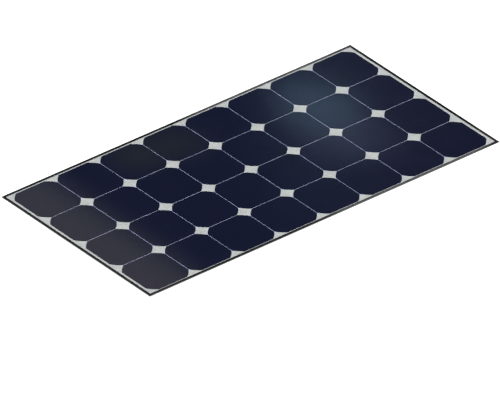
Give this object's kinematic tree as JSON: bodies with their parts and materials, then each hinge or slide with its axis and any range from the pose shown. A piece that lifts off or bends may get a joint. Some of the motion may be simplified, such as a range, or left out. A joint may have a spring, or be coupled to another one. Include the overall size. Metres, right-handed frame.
{
  "type": "flexible solar sheet",
  "caption": "Thin bendable photovoltaic sheet of corner-cut dark cells on a pale backsheet with a dark edge trim, and a shallow hinged junction box on its back.",
  "frame": {"origin": "centre of the bonding face on the back of the sheet", "axes": "+X along the long side away from the junction box, +Z out of the sunny side"},
  "size_m": [1.034, 0.522, 0.023],
  "materials": {
    "film": "clear, fine satin",
    "encapsulant": "clear",
    "cell": "dark blue, satin",
    "tinned_copper": "bright tin",
    "backsheet": "fine matt",
    "trim": "satin",
    "sealant": "matt",
    "box_plastic": "fine moulded texture",
    "gland_plastic": "satin",
    "seal_rubber": "matt",
    "steel": "bright",
    "rail_brass": "satin",
    "diode": "moulded epoxy"
  },
  "bodies": {
    "column_1": {"front_film_1": "film", "encapsulant_1": "encapsulant", "cells_1": "cell", "interconnects_1": "tinned_copper", "backsheet_1": "backsheet", "edge_trim_1": "trim", "bus_ribbons_near": "tinned_copper", "adhesive_pad": "sealant", "junction_base": "box_plastic", "hinge_pin": "steel", "terminal_rails": "rail_brass", "terminal_screws": "steel", "bypass_diodes": "diode", "gland_seals": "seal_rubber", "gland_nuts": "gland_plastic"},
    "column_2": {"front_film_2": "film", "encapsulant_2": "encapsulant", "cells_2": "cell", "interconnects_2": "tinned_copper", "backsheet_2": "backsheet", "edge_trim_2": "trim"},
    "column_3": {"front_film_3": "film", "encapsulant_3": "encapsulant", "cells_3": "cell", "interconnects_3": "tinned_copper", "backsheet_3": "backsheet", "edge_trim_3": "trim"},
    "column_4": {"front_film_4": "film", "encapsulant_4": "encapsulant", "cells_4": "cell", "interconnects_4": "tinned_copper", "backsheet_4": "backsheet", "edge_trim_4": "trim"},
    "column_5": {"front_film_5": "film", "encapsulant_5": "encapsulant", "cells_5": "cell", "interconnects_5": "tinned_copper", "backsheet_5": "backsheet", "edge_trim_5": "trim"},
    "column_6": {"front_film_6": "film", "encapsulant_6": "encapsulant", "cells_6": "cell", "interconnects_6": "tinned_copper", "backsheet_6": "backsheet", "edge_trim_6": "trim"},
    "column_7": {"front_film_7": "film", "encapsulant_7": "encapsulant", "cells_7": "cell", "interconnects_7": "tinned_copper", "backsheet_7": "backsheet", "edge_trim_7": "trim"},
    "column_8": {"front_film_8": "film", "encapsulant_8": "encapsulant", "cells_8": "cell", "interconnects_8": "tinned_copper", "backsheet_8": "backsheet", "edge_trim_8": "trim", "bus_ribbons_far": "tinned_copper"},
    "box_lid": {"junction_lid": "box_plastic", "lid_seal": "seal_rubber"}
  },
  "joints": [
    {"name": "flex_1", "type": "hinge", "parent": "column_1", "child": "column_2", "pos_m": [-0.378, 0, 0.001], "axis": [0, 1, 0], "range_deg": [-4.3, 4.3], "stiffness_Nm_per_rad": 50},
    {"name": "flex_2", "type": "hinge", "parent": "column_2", "child": "column_3", "pos_m": [-0.252, 0, 0.001], "axis": [0, 1, 0], "range_deg": [-4.3, 4.3], "stiffness_Nm_per_rad": 50},
    {"name": "flex_3", "type": "hinge", "parent": "column_3", "child": "column_4", "pos_m": [-0.126, 0, 0.001], "axis": [0, 1, 0], "range_deg": [-4.3, 4.3], "stiffness_Nm_per_rad": 50},
    {"name": "flex_4", "type": "hinge", "parent": "column_4", "child": "column_5", "pos_m": [0, 0, 0.001], "axis": [0, 1, 0], "range_deg": [-4.3, 4.3], "stiffness_Nm_per_rad": 50},
    {"name": "flex_5", "type": "hinge", "parent": "column_5", "child": "column_6", "pos_m": [0.126, 0, 0.001], "axis": [0, 1, 0], "range_deg": [-4.3, 4.3], "stiffness_Nm_per_rad": 50},
    {"name": "flex_6", "type": "hinge", "parent": "column_6", "child": "column_7", "pos_m": [0.252, 0, 0.001], "axis": [0, 1, 0], "range_deg": [-4.3, 4.3], "stiffness_Nm_per_rad": 50},
    {"name": "flex_7", "type": "hinge", "parent": "column_7", "child": "column_8", "pos_m": [0.378, 0, 0.001], "axis": [0, 1, 0], "range_deg": [-4.3, 4.3], "stiffness_Nm_per_rad": 50},
    {"name": "lid_hinge", "type": "hinge", "parent": "column_1", "child": "box_lid", "pos_m": [-0.4058, 0, -0.0178], "axis": [0, -1, 0], "range_deg": [0, 110]}
  ],
  "couplings": [
    {"joint": "flex_2", "follows": "flex_1", "ratio": 1},
    {"joint": "flex_3", "follows": "flex_1", "ratio": 1},
    {"joint": "flex_4", "follows": "flex_1", "ratio": 1},
    {"joint": "flex_5", "follows": "flex_1", "ratio": 1},
    {"joint": "flex_6", "follows": "flex_1", "ratio": 1},
    {"joint": "flex_7", "follows": "flex_1", "ratio": 1}
  ]
}
